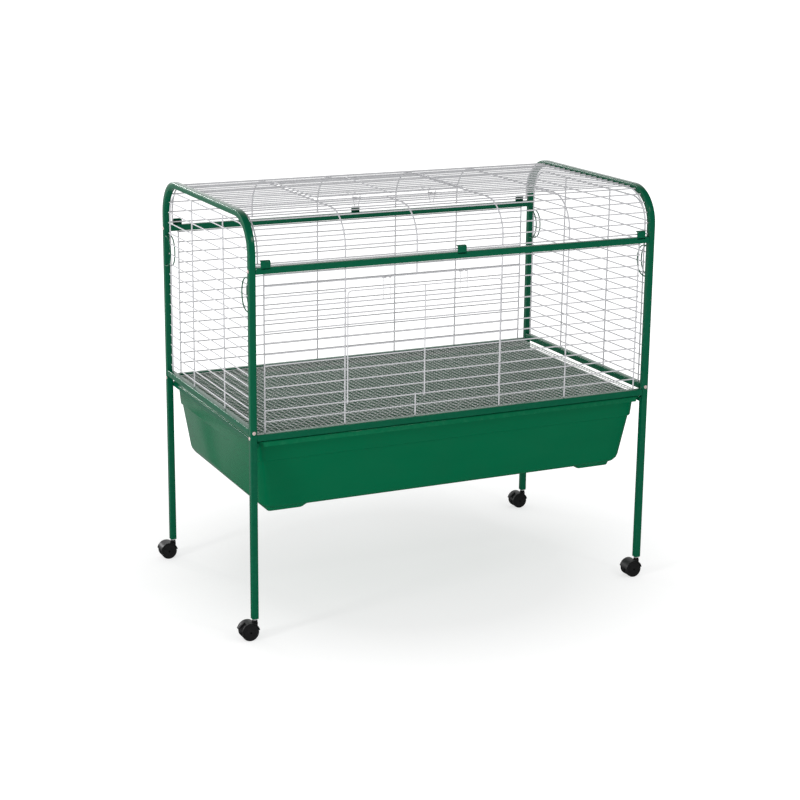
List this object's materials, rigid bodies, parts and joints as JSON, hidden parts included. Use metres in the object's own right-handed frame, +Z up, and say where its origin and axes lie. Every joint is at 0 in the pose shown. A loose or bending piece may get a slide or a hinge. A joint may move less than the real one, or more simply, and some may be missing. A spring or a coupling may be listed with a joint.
{
  "type": "rabbit hutch",
  "caption": "Wire rabbit hutch on a tubular stand with swivel castors, arched roof, front and roof doors, floor grille and slide-out waste tub.",
  "frame": {"origin": "on the floor, midway between the four legs", "axes": "+Z up, +X along the length to the right as seen from the front, -Y the front with the door"},
  "size_m": [1.0661, 0.614, 0.9723],
  "materials": {
    "green_enamel": "gloss",
    "white_wire": "gloss",
    "zinc_wire": "satin",
    "bolt_zinc": "satin",
    "tub_plastic": "gloss",
    "castor_nylon": "matte",
    "wheel_nylon": "matte"
  },
  "bodies": {
    "frame": {"hoop_left": "green_enamel", "hoop_right": "green_enamel", "leg_front_left": "green_enamel", "leg_rear_left": "green_enamel", "leg_front_right": "green_enamel", "leg_rear_right": "green_enamel", "upper_rail_front": "green_enamel", "upper_rail_rear": "green_enamel", "lower_rail_front": "green_enamel", "lower_rail_rear": "green_enamel", "end_rail_left": "green_enamel", "end_rail_right": "green_enamel", "tub_runner_left": "green_enamel", "tub_runner_right": "green_enamel", "bolt_upper_front_left": "bolt_zinc", "bolt_lower_front_left": "bolt_zinc", "bolt_end_front_left": "bolt_zinc", "bow_guide_front_left": "green_enamel", "bolt_upper_rear_left": "bolt_zinc", "bolt_lower_rear_left": "bolt_zinc", "bolt_end_rear_left": "bolt_zinc", "bow_guide_rear_left": "green_enamel", "bolt_upper_front_right": "bolt_zinc", "bolt_lower_front_right": "bolt_zinc", "bolt_end_front_right": "bolt_zinc", "bow_guide_front_right": "green_enamel", "bolt_upper_rear_right": "bolt_zinc", "bolt_lower_rear_right": "bolt_zinc", "bolt_end_rear_right": "bolt_zinc", "bow_guide_rear_right": "green_enamel", "front_panel": "white_wire", "rear_panel": "white_wire", "end_panel_left": "white_wire", "end_panel_right": "white_wire", "roof_panel": "white_wire", "floor_grille": "zinc_wire"},
    "front_door": {"front_door": "white_wire"},
    "roof_door": {"roof_door": "white_wire"},
    "front_latch_left": {"front_latch_left": "zinc_wire"},
    "front_latch_right": {"front_latch_right": "zinc_wire"},
    "roof_latch_left": {"roof_latch_left": "zinc_wire"},
    "roof_latch_right": {"roof_latch_right": "zinc_wire"},
    "tub": {"tub": "tub_plastic"},
    "caster_front_left": {"caster_body_front_left": "castor_nylon"},
    "wheel_outer_front_left": {"wheel_outer_front_left": "wheel_nylon"},
    "wheel_inner_front_left": {"wheel_inner_front_left": "wheel_nylon"},
    "brake_front_left": {"brake_lever_front_left": "castor_nylon"},
    "caster_rear_left": {"caster_body_rear_left": "castor_nylon"},
    "wheel_outer_rear_left": {"wheel_outer_rear_left": "wheel_nylon"},
    "wheel_inner_rear_left": {"wheel_inner_rear_left": "wheel_nylon"},
    "caster_front_right": {"caster_body_front_right": "castor_nylon"},
    "wheel_outer_front_right": {"wheel_outer_front_right": "wheel_nylon"},
    "wheel_inner_front_right": {"wheel_inner_front_right": "wheel_nylon"},
    "caster_rear_right": {"caster_body_rear_right": "castor_nylon"},
    "wheel_outer_rear_right": {"wheel_outer_rear_right": "wheel_nylon"},
    "wheel_inner_rear_right": {"wheel_inner_rear_right": "wheel_nylon"},
    "brake_rear_right": {"brake_lever_rear_right": "castor_nylon"}
  },
  "joints": [
    {"name": "front_door_hinge", "type": "hinge", "parent": "frame", "child": "front_door", "pos_m": [-0.0885, -0.2905, 0.5323], "axis": [1, 0, 0], "range_deg": [0, 100]},
    {"name": "roof_door_hinge", "type": "hinge", "parent": "frame", "child": "roof_door", "pos_m": [-0.0885, 0.15317, 0.9645], "axis": [-1, 0, 0], "range_deg": [0, 110]},
    {"name": "front_latch_left_turn", "type": "hinge", "parent": "frame", "child": "front_latch_left", "pos_m": [-0.187, -0.2905, 0.8117], "axis": [-1, 0, 0], "range_deg": [0, 120]},
    {"name": "roof_latch_left_turn", "type": "hinge", "parent": "frame", "child": "roof_latch_left", "pos_m": [-0.187, -0.12764, 0.9645], "axis": [1, 0, 0], "range_deg": [0, 120]},
    {"name": "front_latch_right_turn", "type": "hinge", "parent": "frame", "child": "front_latch_right", "pos_m": [0.0055, -0.2905, 0.8117], "axis": [-1, 0, 0], "range_deg": [0, 120]},
    {"name": "roof_latch_right_turn", "type": "hinge", "parent": "frame", "child": "roof_latch_right", "pos_m": [0.0055, -0.12764, 0.9645], "axis": [1, 0, 0], "range_deg": [0, 120]},
    {"name": "tub_slide", "type": "slide", "parent": "frame", "child": "tub", "axis": [0, -1, 0], "range_m": [0, 0.45]},
    {"name": "swivel_front_left", "type": "hinge", "parent": "frame", "child": "caster_front_left", "pos_m": [-0.5075, -0.2905, 0.048], "axis": [0, 0, 1], "continuous": true},
    {"name": "roll_outer_front_left", "type": "hinge", "parent": "caster_front_left", "child": "wheel_outer_front_left", "pos_m": [-0.5225, -0.30115, 0.02], "axis": [0, 1, 0], "continuous": true},
    {"name": "roll_inner_front_left", "type": "hinge", "parent": "caster_front_left", "child": "wheel_inner_front_left", "pos_m": [-0.5225, -0.27985, 0.02], "axis": [0, 1, 0], "continuous": true},
    {"name": "brake_front_left_lift", "type": "hinge", "parent": "caster_front_left", "child": "brake_front_left", "pos_m": [-0.53405, -0.2905, 0.04172], "axis": [0, 1, 0], "range_deg": [0, 18]},
    {"name": "swivel_rear_left", "type": "hinge", "parent": "frame", "child": "caster_rear_left", "pos_m": [-0.5075, 0.2905, 0.048], "axis": [0, 0, 1], "continuous": true},
    {"name": "roll_outer_rear_left", "type": "hinge", "parent": "caster_rear_left", "child": "wheel_outer_rear_left", "pos_m": [-0.5225, 0.30115, 0.02], "axis": [0, 1, 0], "continuous": true},
    {"name": "roll_inner_rear_left", "type": "hinge", "parent": "caster_rear_left", "child": "wheel_inner_rear_left", "pos_m": [-0.5225, 0.27985, 0.02], "axis": [0, 1, 0], "continuous": true},
    {"name": "swivel_front_right", "type": "hinge", "parent": "frame", "child": "caster_front_right", "pos_m": [0.5075, -0.2905, 0.048], "axis": [0, 0, 1], "continuous": true},
    {"name": "roll_outer_front_right", "type": "hinge", "parent": "caster_front_right", "child": "wheel_outer_front_right", "pos_m": [0.4925, -0.30115, 0.02], "axis": [0, 1, 0], "continuous": true},
    {"name": "roll_inner_front_right", "type": "hinge", "parent": "caster_front_right", "child": "wheel_inner_front_right", "pos_m": [0.4925, -0.27985, 0.02], "axis": [0, 1, 0], "continuous": true},
    {"name": "swivel_rear_right", "type": "hinge", "parent": "frame", "child": "caster_rear_right", "pos_m": [0.5075, 0.2905, 0.048], "axis": [0, 0, 1], "continuous": true},
    {"name": "roll_outer_rear_right", "type": "hinge", "parent": "caster_rear_right", "child": "wheel_outer_rear_right", "pos_m": [0.4925, 0.30115, 0.02], "axis": [0, 1, 0], "continuous": true},
    {"name": "roll_inner_rear_right", "type": "hinge", "parent": "caster_rear_right", "child": "wheel_inner_rear_right", "pos_m": [0.4925, 0.27985, 0.02], "axis": [0, 1, 0], "continuous": true},
    {"name": "brake_rear_right_lift", "type": "hinge", "parent": "caster_rear_right", "child": "brake_rear_right", "pos_m": [0.48095, 0.2905, 0.04172], "axis": [0, 1, 0], "range_deg": [0, 18]}
  ]
}
